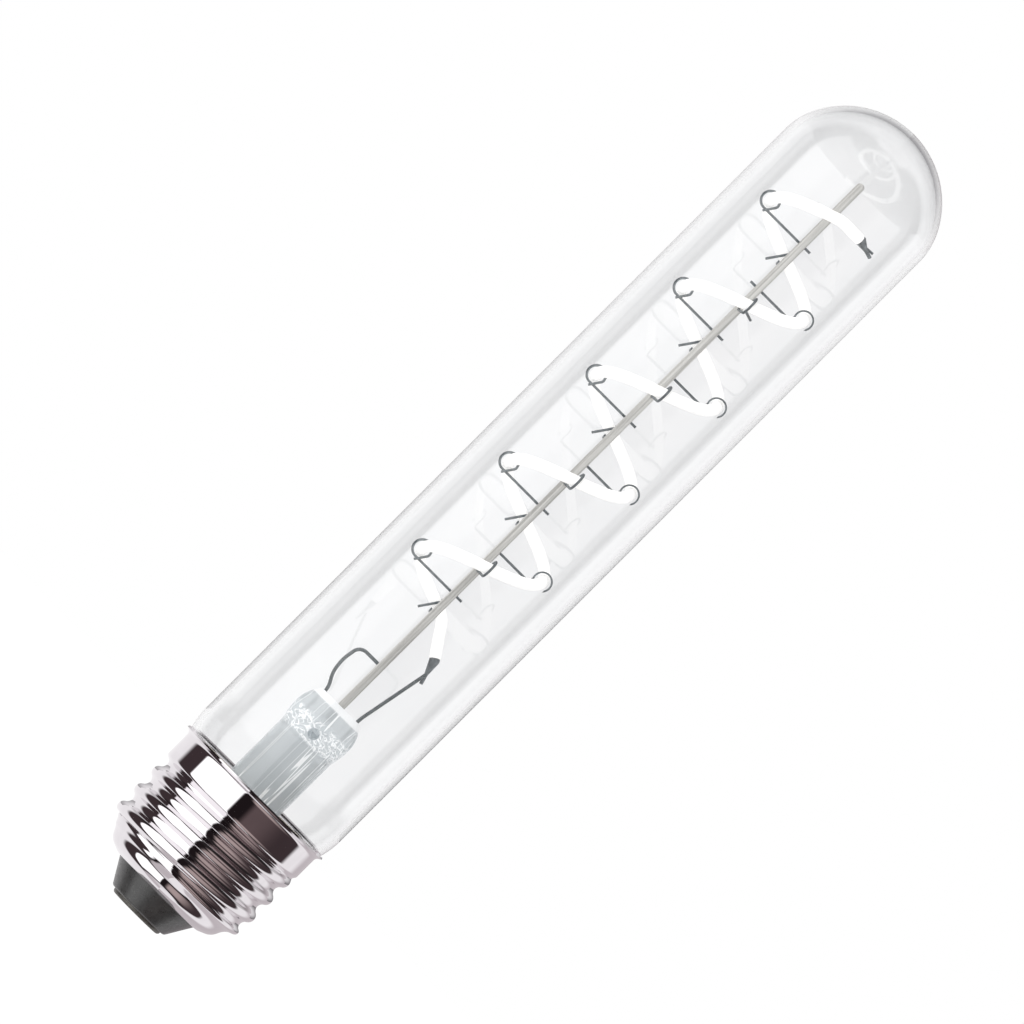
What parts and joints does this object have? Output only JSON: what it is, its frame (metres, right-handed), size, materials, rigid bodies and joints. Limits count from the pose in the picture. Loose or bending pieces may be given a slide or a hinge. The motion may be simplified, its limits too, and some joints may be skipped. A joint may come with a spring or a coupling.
{
  "type": "tubular light bulb",
  "caption": "Clear tubular filament bulb with a domed end, a spiral filament held on wire hooks round a centre rod, and a metal screw cap.",
  "frame": {"origin": "centre of the lower face of the centre contact", "axes": "+Z along the bulb's axis from the contact to the dome; the picture looks along +Y, with +X to the right when the bulb stands upright"},
  "size_m": [0.028, 0.028, 0.1627],
  "materials": {
    "cap_metal": "bright nickel plate",
    "insulator": "black, slightly glossy",
    "contact_metal": "plated brass",
    "envelope_glass": "clear, polished",
    "cement": "baked cement, matt",
    "stem_glass": "clear lead-free glass, fire polished",
    "filament": "white silicone coat, glowing",
    "terminal_metal": "dull nickel",
    "hook_wire": "drawn wire, dark grey",
    "lead_wire": "drawn wire, dark grey",
    "rod": "pale grey, satin",
    "copper_wire": "bare copper",
    "board": "white solder mask",
    "package": "moulded epoxy",
    "capacitor_can": "sleeved can",
    "resistor": "coated resistor"
  },
  "bodies": {
    "root": {"screw_shell": "cap_metal", "insulator": "insulator", "centre_contact": "contact_metal", "glass_envelope": "envelope_glass", "cap_cement": "cement", "stem": "stem_glass", "exhaust_tube": "stem_glass", "led_filament": "filament", "filament_tab_lower": "terminal_metal", "filament_tab_upper": "terminal_metal", "upper_terminal_wire": "hook_wire", "centre_rod": "rod", "lead_wire_left": "lead_wire", "lead_wire_right": "lead_wire", "outer_lead_left": "copper_wire", "outer_lead_right": "copper_wire", "contact_wire": "copper_wire", "shell_wire": "copper_wire", "driver_board": "board", "bridge_rectifier": "package", "driver_chip": "package", "filter_capacitor": "capacitor_can", "fusible_resistor": "resistor", "hook_left_1": "hook_wire", "hook_left_2": "hook_wire", "hook_left_3": "hook_wire", "hook_left_4": "hook_wire", "hook_left_5": "hook_wire", "hook_front_1": "hook_wire", "hook_front_2": "hook_wire", "hook_front_3": "hook_wire", "hook_front_4": "hook_wire", "hook_right_1": "hook_wire", "hook_right_2": "hook_wire", "hook_right_3": "hook_wire", "hook_right_4": "hook_wire", "hook_back_1": "hook_wire", "hook_back_2": "hook_wire", "hook_back_3": "hook_wire", "hook_back_4": "hook_wire", "hook_back_5": "hook_wire"}
  },
  "joints": []
}
